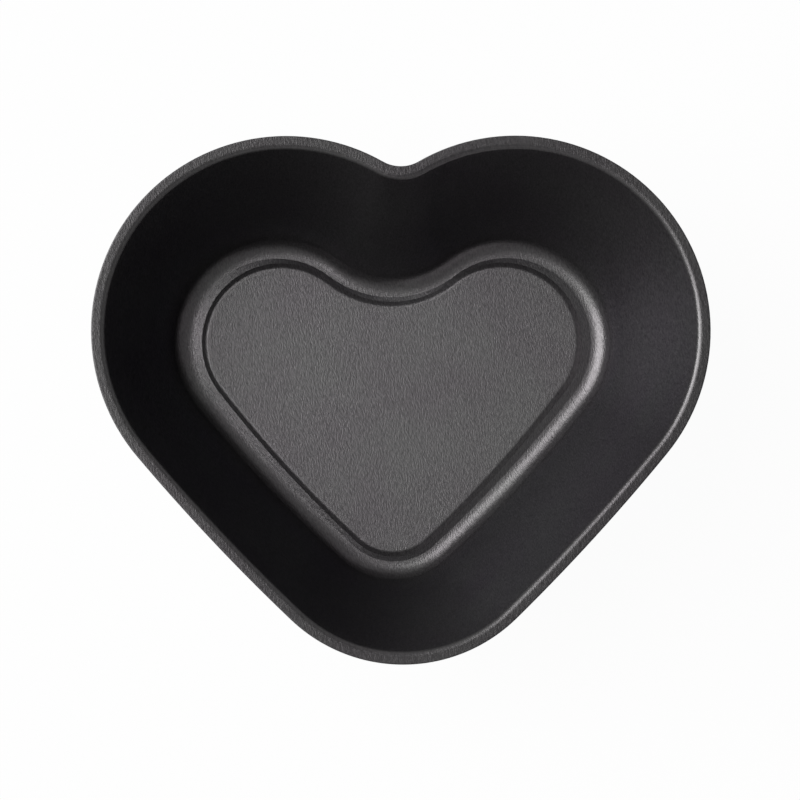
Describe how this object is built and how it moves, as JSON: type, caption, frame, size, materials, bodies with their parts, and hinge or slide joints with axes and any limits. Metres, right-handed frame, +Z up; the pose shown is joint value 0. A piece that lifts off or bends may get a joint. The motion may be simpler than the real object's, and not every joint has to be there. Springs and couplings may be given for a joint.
{
  "type": "heart-shaped cake pan",
  "caption": "Small heart-shaped baking pan in dark coated steel, with a flat rim, drafted walls and a raised floor panel.",
  "frame": {"origin": "on the table, under the middle of the rim's bounding rectangle", "axes": "+X across the lobes, +Y from the tip to the notch, +Z up out of the open top"},
  "size_m": [0.102, 0.087, 0.036],
  "materials": {
    "coated_steel": "semi-matt dark grey non-stick coating with a fine grain"
  },
  "bodies": {
    "root": {"heart_cake_pan": "coated_steel"}
  },
  "joints": []
}
